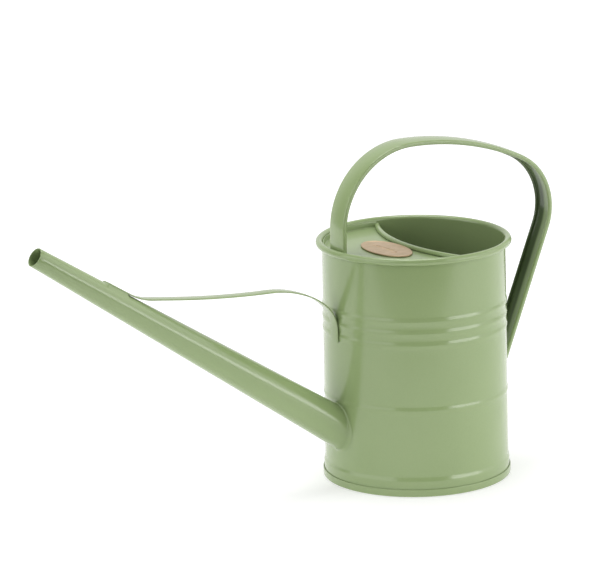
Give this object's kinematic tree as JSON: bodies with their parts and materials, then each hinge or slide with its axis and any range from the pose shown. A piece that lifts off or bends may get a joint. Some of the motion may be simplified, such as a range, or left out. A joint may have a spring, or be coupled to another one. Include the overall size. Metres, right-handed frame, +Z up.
{
  "type": "watering can",
  "caption": "Round sheet-metal watering can with a half cover, a long straight tapered spout, a brace and an arched strap handle.",
  "frame": {"origin": "the can's axis at the level of the floor, in the middle of the ring that the foot rests on", "axes": "+Z up along the can's axis, the spout points to -X, the handle swings out to +X, XZ is the plane of symmetry"},
  "size_m": [0.3678, 0.1226, 0.2149],
  "materials": {
    "green_coat": "gloss powder coat",
    "green_fillet": "gloss powder coat over solder or weld",
    "steel_wire": "bare drawn wire, hidden",
    "weld_metal": "spot weld nugget, hidden",
    "copper": "satin copper",
    "adhesive": "matt"
  },
  "bodies": {
    "root": {"body_shell": "green_coat", "base_disc": "green_coat", "rim_wire": "steel_wire", "cover_plate": "green_coat", "cover_edge_wire": "steel_wire", "cover_spot_welds": "weld_metal", "spout_tube": "green_coat", "spout_solder": "green_fillet", "handle_strap": "green_coat", "handle_front_spot_welds": "weld_metal", "handle_rear_welds": "green_fillet", "brace_strap": "green_coat", "brace_wall_spot_welds": "weld_metal", "brace_spout_solder": "green_fillet", "badge_plate": "copper", "badge_adhesive": "adhesive"}
  },
  "joints": []
}
